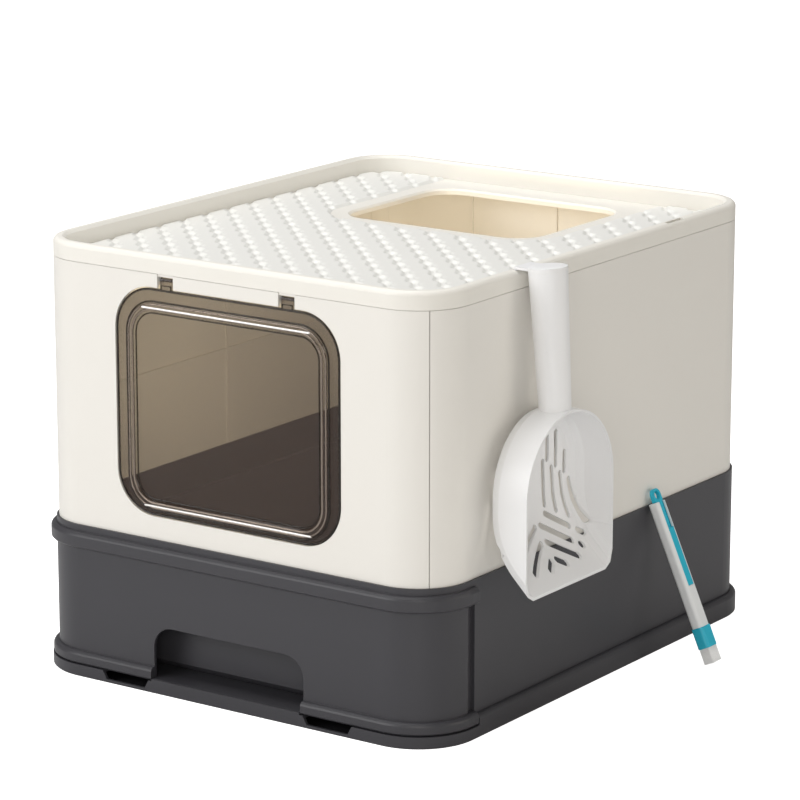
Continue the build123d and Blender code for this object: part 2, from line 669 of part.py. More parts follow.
# ================= lid =================
RIM_INNER = HOOD_SETBACK + RIM_BAND
RIM_CHANNEL = RIM_INNER - LID_WALL
EXIT_CENTRE_Y = BASE_DEPTH / 2 - EXIT_REAR - EXIT_DEPTH / 2


def exit_outline(grow=0.0, mode=Mode.ADD):
    """The top exit's rounded outline, let out by grow."""
    with Locations((0, EXIT_CENTRE_Y)):
        return RectangleRounded(
            EXIT_WIDTH + 2 * grow, EXIT_DEPTH + 2 * grow, EXIT_CORNER + grow, mode=mode
        )


with BuildPart() as lid:
    with BuildSketch(Plane.XY.offset(LID_BOTTOM)):
        outline(HOOD_SETBACK)
    extrude(amount=LID_HEIGHT)
    ease_top(lid, RIM_ROUNDING)
    # the deck is sunk below the rim, which is hollow
    with BuildSketch(Plane.XY.offset(DECK_UNDERSIDE)):
        outline(RIM_CHANNEL)
    extrude(amount=LID_BOTTOM - DECK_UNDERSIDE)
    with BuildSketch(Plane.XY.offset(DECK_TOP)):
        outline(RIM_INNER)
    extrude(amount=DECK_RECESS, mode=Mode.SUBTRACT)
    chamfer(lid.faces().sort_by(Axis.Z)[-1].inner_wires()[0].edges(), length=RIM_BEVEL)
    with BuildSketch(Plane.XY.offset(LID_BOTTOM)):
        outline(HOOD_SETBACK + LID_WALL)
        outline(RIM_CHANNEL, mode=Mode.SUBTRACT)
    extrude(amount=LID_HEIGHT - LID_WALL, mode=Mode.SUBTRACT)
    # locating lip inside the hood, open in front where the flap's barrels are
    with BuildSketch(Plane.XY.offset(LIP_FOOT)):
        outline(RIM_CHANNEL)
        outline(RIM_INNER, mode=Mode.SUBTRACT)
        Rectangle(
            LOCATING_FRONT_GAP, BASE_DEPTH, align=(Align.CENTER, Align.MAX), mode=Mode.SUBTRACT
        )
    extrude(amount=LOCATING_DROP)
    # small ribs on the lip centre the lid between the panels
    rib_reach = RIM_CHANNEL - HOOD_SETBACK - HOOD_WALL - FIT + FUSE
    side_x = BASE_WIDTH / 2 - HOOD_SETBACK - HOOD_WALL - FIT - rib_reach / 2
    end_y = BASE_DEPTH / 2 - HOOD_SETBACK - HOOD_WALL - FIT - rib_reach / 2
    with BuildSketch(Plane.XY.offset(LIP_FOOT)):
        with GridLocations(2 * side_x, LOCATING_RIB_PITCH, 2, 3):
            Rectangle(rib_reach, LOCATING_RIB)
        with GridLocations(2 * LOCATING_RIB_PITCH, 2 * end_y, 2, 2):
            Rectangle(LOCATING_RIB, rib_reach)
    extrude(amount=LOCATING_DROP + LOCATING_RIB_RISE)
    # top exit with a turned-down lip
    with BuildSketch(Plane.XY.offset(DECK_TOP - EXIT_LIP)):
        exit_outline(EXIT_LIP_WALL)
    extrude(amount=EXIT_LIP)
    with BuildSketch(Plane.XY.offset(DECK_TOP - EXIT_LIP)):
        exit_outline()
    extrude(amount=EXIT_LIP, mode=Mode.SUBTRACT)
    mouth = lid.edges().filter_by_position(Axis.Z, DECK_TOP - 0.01, DECK_TOP + 0.01)
    mouth = mouth.filter_by_position(Axis.X, -EXIT_WIDTH / 2 - 1, EXIT_WIDTH / 2 + 1)
    mouth = mouth.filter_by_position(Axis.Y, EXIT_CENTRE_Y - EXIT_DEPTH, BASE_DEPTH / 2 - RIM_INNER - 1)
    chamfer(mouth, length=EXIT_ROUNDING)
    # slots for tool hooks
    with BuildSketch(Plane.XY.offset(LID_TOP - LID_WALL)):
        with Locations((BASE_WIDTH / 2 - HOOD_SETBACK - SLOT_INSET, 0)):
            with GridLocations(0, SLOT_SPACING, 1, 2):
                Rectangle(SLOT_WIDTH, SLOT_LENGTH)
    extrude(amount=LID_WALL, mode=Mode.SUBTRACT)
lid.part.label = "lid"
export_step(lid.part, "parts/lid.step")

# ================= scoop =================


def bowl_section(inset, side):
    """Half of the bowl's level cross-section, its back corner eased in two flats."""
    half = BOWL_HALF_WIDTH - inset
    back = BOWL_BACK_X + inset
    past = BOWL_RIM_X + BOWL_WALL
    rounding = BOWL_ROUNDING - inset
    eased = rounding * (1 - 0.5**0.5)
    across = [(back, 0), (back, half - rounding), (back + eased, half - eased)]
    across += [(back + rounding, half), (past, half), (past, 0)]
    Polygon(*[(x, SCOOP_Y + side * y) for x, y in across], align=None)


def bowl_blank(inset):
    """The bowl's full form, drawn in by inset and run past its open face."""
    with BuildPart() as blank:
        # half-round top
        with BuildSketch(Plane.XY.offset(BOWL_SHOULDER)):
            bowl_section(inset, 1)
        revolve(axis=Axis((0, SCOOP_Y, BOWL_SHOULDER), (1, 0, 0)), revolution_arc=180)
        # straight sides
        with BuildSketch(Plane.XY.offset(BOWL_SHOULDER)):
            bowl_section(inset, 1)
            bowl_section(inset, -1)
        extrude(amount=HEEL_Z - BOWL_SHOULDER)
        # heel, bent forwards, and the sloping lip
        with BuildSketch(Plane.XY.offset(HEEL_Z)):
            bowl_section(inset, 1)
            bowl_section(inset, -1)
        bend = Axis((BOWL_BACK_X + BOWL_BEND_RADIUS, 0, HEEL_Z), (0, -1, 0))
        revolve(axis=bend, revolution_arc=LIP_ANGLE)
        extrude(blank.faces().sort_by(Axis.Z)[0], amount=OVERSIZE)
    return blank.part


# along the grip's axis, up from its foot
GRIP = Plane(
    origin=(GRIP_FOOT_X, SCOOP_Y, GRIP_FOOT_Z),
    z_dir=(GRIP_TOP_X - GRIP_FOOT_X, 0, CAP_BOTTOM - GRIP_FOOT_Z),
)
GRIP_RUN = math.hypot(GRIP_TOP_X - GRIP_FOOT_X, CAP_BOTTOM - GRIP_FOOT_Z)
GRIP_FLARE = math.degrees(math.atan((GRIP_TOP_RADIUS - GRIP_FOOT_RADIUS) / GRIP_RUN))
GRIP_BORE = GRIP_FOOT_RADIUS - GRIP_WALL


def sieve_slot(side, start, end):
    """One slot of the sieve, given on the right half from the scoop's middle."""
    run = Vector(side * (end[0] - start[0]), end[1] - start[1])
    middle = (SCOOP_Y + side * (start[0] + end[0]) / 2, (start[1] + end[1]) / 2)
    with Locations(Location((*middle, 0), math.degrees(math.atan2(run.Y, run.X)))):
        Rectangle(run.length + SIEVE_SLOT, SIEVE_SLOT)


def chevron_slot(side, row, near, far):
    """A slot of the lower rows, which fall away from the scoop's middle."""
    fall = math.tan(math.radians(CHEVRON_SLOPE))
    top = BOWL_TOP - CHEVRON_DROP - row * SIEVE_PITCH
    sieve_slot(side, (near, top - near * fall), (far, top - far * fall))


def sieve_half(side):
    """The slots on one side of the scoop's middle."""
    for row in (0, 1, 2):
        across = (1.5 + row) * SIEVE_PITCH
        foot = BOWL_TOP - DOME_SLOT_DROP - row * SIEVE_FALL
        sieve_slot(side, (across, foot), (across, BOWL_SHOULDER + math.sqrt(DOME_REACH**2 - across**2)))
    for row in (0, 1, 2, 3):
        lean_out = math.radians(SIEVE_FAN * (row + 1))
        across = SIEVE_PITCH * (1 + row)
        head = BOWL_TOP - SIEVE_DROP - row * SIEVE_FALL
        run = Vector(SIEVE_LENGTH * math.sin(lean_out), SIEVE_LENGTH * math.cos(lean_out))
        sieve_slot(side, (across, head), (across + run.X, head - run.Y))
    for row, near, far in CHEVRON_SLOTS:
        chevron_slot(side, row, near, far)


with BuildPart() as scoop_body:
    add(bowl_blank(0.0))
    # the hollow grip
    with BuildSketch(GRIP):
        Circle(GRIP_FOOT_RADIUS)
    extrude(amount=GRIP_RUN, taper=-GRIP_FLARE)
    with BuildSketch(GRIP.offset(BOWL_ROUNDING)):
        Circle(GRIP_BORE)
    extrude(amount=GRIP_RUN, mode=Mode.SUBTRACT)
    add(bowl_blank(BOWL_WALL), mode=Mode.SUBTRACT)
    # the open face, below the grip
    with BuildSketch(Plane.YZ.offset(BOWL_RIM_X)):
        with Locations((SCOOP_Y, BOWL_LIP)):
            Rectangle(4 * BOWL_HALF_WIDTH, 2 * (BOWL_TOP - BOWL_LIP))
    extrude(amount=OVERSIZE, mode=Mode.SUBTRACT)
    # sieve slots through the back
    with BuildSketch(Plane.YZ.offset(BOWL_BACK_X - OVERSIZE)) as sieve:
        sieve_half(-1)
        sieve_half(1)
        chamfer(sieve.vertices(), length=SIEVE_SLOT / 3)
    extrude(amount=OVERSIZE + BOWL_RIM_X - BOWL_BACK_X, mode=Mode.SUBTRACT)
scoop_body.part.label = "scoop_body"
export_step(scoop_body.part, "parts/scoop_body.step")

# the end cap and its hook
HOOK_X = BASE_WIDTH / 2 - HOOD_SETBACK - SLOT_INSET
with BuildPart() as scoop_cap:
    with BuildSketch(GRIP.offset(GRIP_RUN)):
        Circle(GRIP_TOP_RADIUS)
    extrude(amount=CAP_THICKNESS)
    crown = scoop_cap.faces().sort_by(Axis.Z)[-1]
    chamfer(crown.edges(), length=CAP_CROWN, length2=CAP_DOME, reference=crown)
    with BuildSketch(GRIP.offset(GRIP_RUN)):
        RegularPolygon(GRIP_BORE - FIT, 6)
    extrude(amount=-PLUG_LENGTH)
    with BuildSketch(Plane.XZ.offset(-SCOOP_Y)) as hook_profile:
        with BuildLine():
            Polyline(
                (GRIP_TOP_X - GRIP_TOP_RADIUS / 2, CAP_BOTTOM),
                (HOOK_X + HOOK_THICKNESS / 2, CAP_BOTTOM),
                (HOOK_X + HOOK_THICKNESS / 2, CAP_BOTTOM - HOOK_DROP),
                (HOOK_X - HOOK_THICKNESS / 2, CAP_BOTTOM - HOOK_DROP),
                (HOOK_X - HOOK_THICKNESS / 2, CAP_BOTTOM + HOOK_THICKNESS),
                (GRIP_TOP_X - GRIP_TOP_RADIUS / 2, CAP_BOTTOM + HOOK_THICKNESS),
                close=True,
            )
        make_face()
        bend = hook_profile.vertices().sort_by(Axis.X)[:2].sort_by(Axis.Y)[-1]
        chamfer(bend, length=HOOK_THICKNESS / 3)
    extrude(amount=HOOK_WIDTH / 2, both=True)
scoop_cap.part.label = "scoop_cap"
export_step(scoop_cap.part, "parts/scoop_cap.step")

# ================= brush =================
tilt = math.radians(BRUSH_TILT)
# along the brush from its bristle tips, x outwards from the wall
BRUSH = Plane(
    origin=(BRUSH_FOOT_X, BRUSH_Y, BRUSH_FOOT_LIFT),
    x_dir=(math.cos(tilt), 0, math.sin(tilt)),
    z_dir=(-math.sin(tilt), 0, math.cos(tilt)),
)
HANDLE_FOOT = BRISTLE_LENGTH + FERRULE_LENGTH
HANDLE_HEAD = HANDLE_FOOT + HANDLE_LENGTH
CAVITY_THICKNESS = HANDLE_THICKNESS - 2 * HANDLE_WALL
CAVITY_WIDTH = HANDLE_SIDE - 2 * HANDLE_WALL

with BuildPart() as brush_handle:
    with BuildSketch(BRUSH.offset(HANDLE_FOOT)):
        RectangleRounded(HANDLE_THICKNESS, HANDLE_SIDE, HANDLE_ROUNDING)
    extrude(amount=HANDLE_LENGTH)
    head = brush_handle.faces().sort_by(Axis((0, 0, 0), tuple(BRUSH.z_dir)))[-1]
    chamfer(head.edges(), length=HANDLE_BEVEL)
    with BuildSketch(BRUSH.offset(HANDLE_FOOT)):
        Rectangle(CAVITY_THICKNESS, CAVITY_WIDTH)
    extrude(amount=HANDLE_LENGTH, mode=Mode.SUBTRACT)
    with BuildSketch(BRUSH.offset(HANDLE_FOOT + WINDOW_FOOT)):
        with Locations((CAVITY_THICKNESS / 2 - FUSE, 0)):
            Rectangle(HANDLE_THICKNESS, WINDOW_WIDTH, align=(Align.MIN, Align.CENTER))
    extrude(amount=HANDLE_LENGTH, mode=Mode.SUBTRACT)
brush_handle.part.label = "brush_handle"
export_step(brush_handle.part, "parts/brush_handle.step")

with BuildPart() as brush_core:
    core_foot = HANDLE_FOOT + FERRULE_NECK + CORE_END_GAP
    with BuildSketch(BRUSH.offset(core_foot)):
        Rectangle(CAVITY_THICKNESS - 2 * CORE_GAP, CAVITY_WIDTH - 2 * CORE_GAP)
    extrude(amount=HANDLE_HEAD - CORE_STEP - core_foot)
    # the strip that shows in the window
    with BuildSketch(BRUSH.offset(HANDLE_FOOT + WINDOW_FOOT + CORE_GAP)):
        with Locations((0, 0)):
            Rectangle(
                HANDLE_THICKNESS / 2 - CORE_GAP,
                WINDOW_WIDTH - 2 * CORE_GAP,
                align=(Align.MIN, Align.CENTER),
            )
    extrude(amount=HANDLE_LENGTH - WINDOW_FOOT - CORE_GAP - CORE_STEP)
    # strap and hanging loop
    with BuildSketch(Plane(BRUSH.origin, x_dir=(0, 1, 0), z_dir=BRUSH.x_dir).offset(LOOP_SHIFT)):
        strap_foot = HANDLE_HEAD - CORE_STEP - FUSE
        with Locations((0, strap_foot)):
            Rectangle(
                LOOP_WIDTH - LOOP_THICKNESS,
                HANDLE_HEAD + LOOP_THICKNESS - strap_foot,
                align=(Align.CENTER, Align.MIN),
            )
        with Locations((0, HANDLE_HEAD + LOOP_HEIGHT - LOOP_WIDTH / 2)):
            Circle(LOOP_WIDTH / 2)
            Rectangle(LOOP_WIDTH, LOOP_HEIGHT - LOOP_WIDTH / 2 - FIT, align=(Align.CENTER, Align.MAX))
        with Locations((0, HANDLE_HEAD + LOOP_HEIGHT - LOOP_WIDTH / 2)):
            Circle(LOOP_WIDTH / 2 - LOOP_THICKNESS, mode=Mode.SUBTRACT)
    extrude(amount=LOOP_DEPTH / 2, both=True)
brush_core.part.label = "brush_core"
export_step(brush_core.part, "parts/brush_core.step")

with BuildPart() as brush_ferrule:
    with BuildSketch(BRUSH.offset(BRISTLE_LENGTH)):
        RectangleRounded(FERRULE_THICKNESS, FERRULE_WIDTH, HANDLE_ROUNDING)
    extrude(amount=FERRULE_LENGTH)
    along = Axis((0, 0, 0), tuple(BRUSH.z_dir))
    chamfer(brush_ferrule.faces().sort_by(along)[-1].edges(), length=HANDLE_BEVEL)
    with BuildSketch(BRUSH.offset(BRISTLE_LENGTH)):
        Rectangle(BRISTLE_THICKNESS + 2 * SOCKET_GAP, BRISTLE_WIDTH + 2 * SOCKET_GAP)
    extrude(amount=BRISTLE_ROOT + SOCKET_GAP, mode=Mode.SUBTRACT)
    with BuildSketch(BRUSH.offset(HANDLE_FOOT - FUSE)):
        Rectangle(CAVITY_THICKNESS - 2 * CORE_GAP, CAVITY_WIDTH - 2 * CORE_GAP)
    extrude(amount=FERRULE_NECK + FUSE)
brush_ferrule.part.label = "brush_ferrule"
export_step(brush_ferrule.part, "parts/brush_ferrule.step")

with BuildPart() as brush_bristles:
    with BuildSketch(BRUSH.offset(BRISTLE_LENGTH)):
        Rectangle(BRISTLE_THICKNESS, BRISTLE_WIDTH)
    extrude(amount=BRISTLE_ROOT)
    with BuildSketch(BRUSH):
        columns = int((BRISTLE_THICKNESS - 2 * STRAND_RADIUS) / STRAND_PITCH) + 1
        rows = int((BRISTLE_WIDTH - 2 * STRAND_RADIUS) / STRAND_PITCH) + 1
        with GridLocations(STRAND_PITCH, STRAND_PITCH, columns, rows):
            RegularPolygon(STRAND_RADIUS, 3)
    extrude(amount=BRISTLE_LENGTH + FUSE)
brush_bristles.part.label = "brush_bristles"
export_step(brush_bristles.part, "parts/brush_bristles.step")
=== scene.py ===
import math

import bpy
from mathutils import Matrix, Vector


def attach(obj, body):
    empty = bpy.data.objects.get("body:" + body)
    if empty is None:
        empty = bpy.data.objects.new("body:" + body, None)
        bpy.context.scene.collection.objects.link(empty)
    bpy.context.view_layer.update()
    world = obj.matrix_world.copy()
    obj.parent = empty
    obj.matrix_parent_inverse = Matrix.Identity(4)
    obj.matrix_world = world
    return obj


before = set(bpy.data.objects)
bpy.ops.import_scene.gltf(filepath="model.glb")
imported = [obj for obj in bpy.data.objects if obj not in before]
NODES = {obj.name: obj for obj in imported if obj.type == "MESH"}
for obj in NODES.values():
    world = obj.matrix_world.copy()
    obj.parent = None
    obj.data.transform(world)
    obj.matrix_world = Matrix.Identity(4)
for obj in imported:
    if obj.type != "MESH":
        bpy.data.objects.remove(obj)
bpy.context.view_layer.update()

scene = bpy.context.scene
scene.view_settings.view_transform = "Standard"


# ---------------------------------------------------------------- materials
def fresh(name):
    """A new node material: its tree, its shader and its output."""
    mat = bpy.data.materials.new(name)
    mat.use_nodes = True
    tree = mat.node_tree
    tree.nodes.clear()
    out = tree.nodes.new("ShaderNodeOutputMaterial")
    shader = tree.nodes.new("ShaderNodeBsdfPrincipled")
    tree.links.new(shader.outputs[0], out.inputs[0])
    return mat, tree, shader, out


def noise(tree, coords, scale, detail=2.0, rough=0.5):
    """A noise texture in object space, scale per metre."""
    node = tree.nodes.new("ShaderNodeTexNoise")
    node.inputs["Scale"].default_value = scale
    node.inputs["Detail"].default_value = detail
    node.inputs["Roughness"].default_value = rough
    tree.links.new(coords.outputs["Object"], node.inputs["Vector"])
    return node


def spread(tree, value, low, high):
    """A 0 to 1 value stretched to low..high."""
    node = tree.nodes.new("ShaderNodeMapRange")
    node.inputs["To Min"].default_value = low
    node.inputs["To Max"].default_value = high
    tree.links.new(value, node.inputs["Value"])
    return node.outputs["Result"]


def shaded(color, amount):
    """A colour, made darker or lighter by a share."""
    return tuple(min(1.0, c * (1 + amount)) for c in color) + (1.0,)


GRAIN_DEPTH = 0.00001
BUMP_STRENGTH = 0.5
ROUGH_SPREAD = 0.06
BEVEL_SAMPLES = 4


def plastic(name, color, rough=0.42, grain=1500.0, vary=0.02, cloud=9.0, edge=0.0006, specular=0.5):
    """Moulded plastic: faint colour clouds, a fine grain, and softened edges."""
    mat, tree, shader, _ = fresh(name)
    coords = tree.nodes.new("ShaderNodeTexCoord")
    clouds = noise(tree, coords, cloud, 3.0)
    mix = tree.nodes.new("ShaderNodeMix")
    mix.data_type = "RGBA"
    mix.inputs["A"].default_value = shaded(color, -vary)
    mix.inputs["B"].default_value = shaded(color, vary)
    tree.links.new(clouds.outputs["Fac"], mix.inputs["Factor"])
    tree.links.new(mix.outputs["Result"], shader.inputs["Base Color"])
    fine = noise(tree, coords, grain, 3.0, 0.6)
    roughness = spread(tree, fine.outputs["Fac"], rough - ROUGH_SPREAD, rough + ROUGH_SPREAD)
    tree.links.new(roughness, shader.inputs["Roughness"])
    bevel = tree.nodes.new("ShaderNodeBevel")
    bevel.samples = BEVEL_SAMPLES
    bevel.inputs["Radius"].default_value = edge
    bump = tree.nodes.new("ShaderNodeBump")
    bump.inputs["Strength"].default_value = BUMP_STRENGTH
    bump.inputs["Distance"].default_value = GRAIN_DEPTH
    tree.links.new(fine.outputs["Fac"], bump.inputs["Height"])
    tree.links.new(bevel.outputs["Normal"], bump.inputs["Normal"])
    tree.links.new(bump.outputs["Normal"], shader.inputs["Normal"])
    shader.inputs["Specular IOR Level"].default_value = specular
    return mat


CLEAR_CLOUD = 14.0
CLEAR_VARY = 0.06
CLEAR_ROUGH_LOW, CLEAR_ROUGH_HIGH = 0.05, 0.09
CLEAR_EDGE = 0.0005
CLEAR_IOR = 1.49


def smoked(name, color, alpha, metal=0.0):
    """Smoked see-through plastic with gloss on it."""
    mat, tree, shader, _ = fresh(name)
    coords = tree.nodes.new("ShaderNodeTexCoord")
    clouds = noise(tree, coords, CLEAR_CLOUD, 2.0)
    mix = tree.nodes.new("ShaderNodeMix")
    mix.data_type = "RGBA"
    mix.inputs["A"].default_value = shaded(color, -CLEAR_VARY)
    mix.inputs["B"].default_value = shaded(color, CLEAR_VARY)
    tree.links.new(clouds.outputs["Fac"], mix.inputs["Factor"])
    tree.links.new(mix.outputs["Result"], shader.inputs["Base Color"])
    roughness = spread(tree, clouds.outputs["Fac"], CLEAR_ROUGH_LOW, CLEAR_ROUGH_HIGH)
    tree.links.new(roughness, shader.inputs["Roughness"])
    bevel = tree.nodes.new("ShaderNodeBevel")
    bevel.samples = BEVEL_SAMPLES
    bevel.inputs["Radius"].default_value = CLEAR_EDGE
    tree.links.new(bevel.outputs["Normal"], shader.inputs["Normal"])
    shader.inputs["Alpha"].default_value = alpha
    shader.inputs["IOR"].default_value = CLEAR_IOR
    shader.inputs["Metallic"].default_value = metal
    return mat


def dress(mat, *nodes):
    """Gives CAD nodes their finished material."""
    for node in nodes:
        mesh = NODES[node].data
        mesh.materials.clear()
        mesh.materials.append(mat)


CREAM = (0.845, 0.82, 0.77)
dark = plastic("dark_plastic", (0.047, 0.046, 0.053), rough=0.40, grain=1300.0, vary=0.05, specular=0.45)
hood = plastic("hood_plastic", CREAM, rough=0.46, vary=0.012)
lid_mat = plastic("lid_plastic", (0.87, 0.845, 0.785), rough=0.44, vary=0.012)
smoke = smoked("smoked_clear", (0.056, 0.035, 0.026), 0.50)
# painted shade: a near-black see-through material for fine lines that stand in for the shadow in the gap
# round the flap, in its steps and round its tabs
smoke_painted_shade = smoked("smoked_painted_shade", (0.020, 0.014, 0.011), 0.78)
smoke_gloss = smoked("smoked_gloss", (0.33, 0.27, 0.225), 0.70, metal=0.5)
# painted highlight: a near-white glossy material for two straight bead runs that stand in for the bright
# lines along the flap's bead
painted_glint = smoked("smoked_painted_glint", (0.92, 0.90, 0.87), 0.92, metal=0.5)
steel = plastic("pin_steel", (0.35, 0.35, 0.36), rough=0.3)
white = plastic("white_plastic", (0.90, 0.90, 0.905), rough=0.36, vary=0.01, edge=0.0005)
grey = plastic("brush_grey", (0.84, 0.86, 0.87), rough=0.38, vary=0.015, edge=0.0004)
cyan = plastic("brush_cyan", (0.02, 0.50, 0.68), rough=0.34, vary=0.03, edge=0.0003)
bristle = plastic("bristle", (0.95, 0.96, 0.97), rough=0.35, vary=0.05, cloud=900.0, edge=0.0001)

dress(dark, "base_floor", "base_shell", "drawer_tray", "drawer_front")
dress(hood, "front_panel", "back_panel", "left_panel", "right_panel")
dress(lid_mat, "lid")
dress(smoke, "flap_door")
dress(steel, "flap_pin_left", "flap_pin_right")
dress(white, "scoop_body", "scoop_cap")
dress(grey, "brush_handle")
dress(cyan, "brush_core", "brush_ferrule")
dress(bristle, "brush_bristles")


# ---------------------------------------------------------------- the deck's tread
# Wavy diagonal rows of low pads on the lid's sunk deck, parted by furrows, each pad with a pit.
DECK_Z = 0.3600
PAD_RISE = 0.0023
FURROW_RISE = 0.00012
ROW_PITCH = 0.0227
ROW_ACROSS = Vector((0.7235, 0.6903))
WAVE_PERIOD = 0.0160
WAVE_REACH = 0.0017
FURROW_HALF = 0.0022
GROOVE_SOFT = 0.0013
PIT_OFFSET = 0.0062
PIT_RADIUS = 0.0026
PIT_DEPTH = 0.0007
PIT_FLOOR = 0.3
PIT_STRETCH = 0.8
COLUMN_SHIFT = 0.004
EDGE_SOFT = 0.0022
CELL = 0.00125
DECK_LEFT, DECK_RIGHT = -0.1945, 0.1945
DECK_FRONT, DECK_REAR = -0.2385, 0.2385
DECK_CORNER = 0.030
EXIT_X = 0.1010
EXIT_FRONT, EXIT_BACK = 0.0420, 0.2080
MARGIN = 0.0165
EXIT_CORNER = 0.029
BARE_REACH = 0.08
BARE_CORNER = 0.01


def rounded_gap(x, y, left, right, front, back, corner):
    """Distance from a rounded rectangle: below 0 inside it."""
    half_x, half_y = (right - left) / 2 - corner, (back - front) / 2 - corner
    dx = abs(x - (left + right) / 2) - half_x
    dy = abs(y - (front + back) / 2) - half_y
    out = math.hypot(max(dx, 0.0), max(dy, 0.0))
    return out + min(max(dx, dy), 0.0) - corner


def smooth(low, high, value):
    """An eased step from 0 at low to 1 at high."""
    share = min(1.0, max(0.0, (value - low) / (high - low)))
    return share * share * (3 - 2 * share)


def tread_edge(x, y):
    """Distance inwards from the tread's own edge: the rim, the exit's margin and the bare band behind it."""
    wall = -rounded_gap(x, y, DECK_LEFT, DECK_RIGHT, DECK_FRONT, DECK_REAR, DECK_CORNER)
    mouth = rounded_gap(x, y, -EXIT_X, EXIT_X, EXIT_FRONT, EXIT_BACK, EXIT_CORNER) - MARGIN
    side = EXIT_X + MARGIN
    bare = rounded_gap(x, y, -side, side, EXIT_BACK - BARE_REACH, DECK_REAR + BARE_REACH, BARE_CORNER)
    return min(wall, mouth, bare)


def tread_rise(x, y, edge):
    """The tread's height over the deck at one place."""
    across = x * ROW_ACROSS.x + y * ROW_ACROSS.y
    across += WAVE_REACH * math.sin(2 * math.pi * x / WAVE_PERIOD)
    row = round(across / ROW_PITCH)
    aside = across - row * ROW_PITCH
    furrow = smooth(FURROW_HALF - GROOVE_SOFT, FURROW_HALF + GROOVE_SOFT, abs(aside))
    height = FURROW_RISE + (PAD_RISE - FURROW_RISE) * furrow
    column = round((x - COLUMN_SHIFT) / WAVE_PERIOD) * WAVE_PERIOD + COLUMN_SHIFT
    pit = math.hypot(aside - PIT_OFFSET, (x - column) * PIT_STRETCH)
    height -= PIT_DEPTH * (1 - smooth(PIT_FLOOR * PIT_RADIUS, PIT_RADIUS, pit))
    rim = FURROW_RISE / 2
    return rim + (height - rim) * smooth(0.0, EDGE_SOFT, edge)


def tread_piece():
    """The tread as a fine height sheet, laid on the deck and left out round the exit."""
    columns = int((DECK_RIGHT - DECK_LEFT) / CELL) + 1
    rows = int((DECK_REAR - DECK_FRONT) / CELL) + 1
    points, places, faces = [], {}, []
    for j in range(rows):
        y = DECK_FRONT + j * CELL
        for i in range(columns):
            x = DECK_LEFT + i * CELL
            edge = tread_edge(x, y)
            if edge < -CELL:
                continue
            places[i, j] = len(points)
            points.append((x, y, DECK_Z + tread_rise(x, y, edge)))
    for i, j in places:
        ring = [(i, j), (i + 1, j), (i + 1, j + 1), (i, j + 1)]
        if all(spot in places for spot in ring):
            faces.append([places[spot] for spot in ring])
    mesh = bpy.data.meshes.new("deck_tread")
    mesh.from_pydata(points, [], faces)
    mesh.shade_smooth()
    piece = bpy.data.objects.new("deck_tread", mesh)
    scene.collection.objects.link(piece)
    mesh.materials.append(tread_mat)
    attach(piece, "lid")


tread_mat = plastic("tread_plastic", (0.86, 0.855, 0.82), rough=0.42, vary=0.012, edge=0.0003)
tread_piece()


# ---------------------------------------------------------------- the flap's stepped rim
# The clear flap's edges and steps, as fine beads that swing with it. The near-black lines are painted shade
# in the gap round the flap, in its steps and round its tabs. The gloss beads catch the lamps. The two
# near-white runs are painted highlights.
FLAP_FRONT = -0.2514
FLAP_LOW, FLAP_HIGH = 0.1544, 0.3485
FLAP_SIDE = 0.1145
FLAP_CORNER = 0.037
PANEL_LOW, PANEL_HIGH = 0.1670, 0.3290
PANEL_SIDE = 0.0950
PANEL_CORNER = 0.020
TAB_PLACES = (-0.062, 0.062)
TAB_HALF = 0.0051
TAB_CREST = 0.3518
CORNER_STEPS = 14
BEAD_SIDES = 3
EDGE_INSET = 0.0009
EDGE_RADIUS = 0.0009
GLINT_HALF = 0.086
GLINT_RADIUS = 0.0010
GLINT_PROUD = 0.0014
GLINT_TOP_GROW = 0.0030
GLINT_FOOT_GROW = 0.0046
TAB_SUNK = 0.0005
TAB_RADIUS = 0.0007


def rounded_ring(side, low, high, corner):
    """Points round a rounded rectangle that faces the front, as x and z."""
    points = []
    for x_sign, z_sign, start in ((1, 1, 0), (-1, 1, 90), (-1, -1, 180), (1, -1, 270)):
        x_mid = x_sign * (side - corner)
        z_mid = high - corner if z_sign > 0 else low + corner
        for step in range(CORNER_STEPS + 1):
            turn = math.radians(start + 90 * step / CORNER_STEPS)
            points.append((x_mid + corner * math.cos(turn), z_mid + corner * math.sin(turn)))
    return points


def flap_bead(name, points, y, radius, mat, closed=True):
    """A fine round bead along points on the flap's face."""
    curve = bpy.data.curves.new(name, "CURVE")
    curve.dimensions = "3D"
    curve.bevel_depth = radius
    curve.bevel_resolution = BEAD_SIDES
    curve.use_fill_caps = not closed
    line = curve.splines.new("POLY")
    line.points.add(len(points) - 1)
    for spot, (x, z) in zip(line.points, points):
        spot.co = (x, y, z, 1.0)
    line.use_cyclic_u = closed
    holder = bpy.data.objects.new(name, curve)
    scene.collection.objects.link(holder)
    graph = bpy.context.evaluated_depsgraph_get()
    mesh = bpy.data.meshes.new_from_object(holder.evaluated_get(graph))
    bpy.data.objects.remove(holder)
    mesh.materials.clear()
    mesh.materials.append(mat)
    mesh.shade_smooth()
    piece = bpy.data.objects.new(name, mesh)
    scene.collection.objects.link(piece)
    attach(piece, "flap")


def flap_ring():
    """Points round the flap's own edge."""
    low, high = FLAP_LOW + EDGE_INSET, FLAP_HIGH - EDGE_INSET
    return rounded_ring(FLAP_SIDE - EDGE_INSET, low, high, FLAP_CORNER - EDGE_INSET)


def panel_ring(grow):
    """Points round the flap's inner panel, grown outwards."""
    return rounded_ring(PANEL_SIDE + grow, PANEL_LOW - grow, PANEL_HIGH + grow, PANEL_CORNER + grow)


# name, growth past the panel, how far proud of the face, radius, material
PANEL_BEADS = (
    # the step and panel lines are painted shade in the flap's steps; the two gloss beads catch the lamps
    ("flap_step_shade_line", 0.0085, 0.0002, 0.0008, smoke_painted_shade),
    ("flap_gloss_outer", 0.0062, 0.0010, 0.0009, smoke_gloss),
    ("flap_gloss_inner", 0.0022, 0.0010, 0.0011, smoke_gloss),
    ("flap_panel_shade_line", -0.0012, 0.0001, 0.0006, smoke_painted_shade),
)
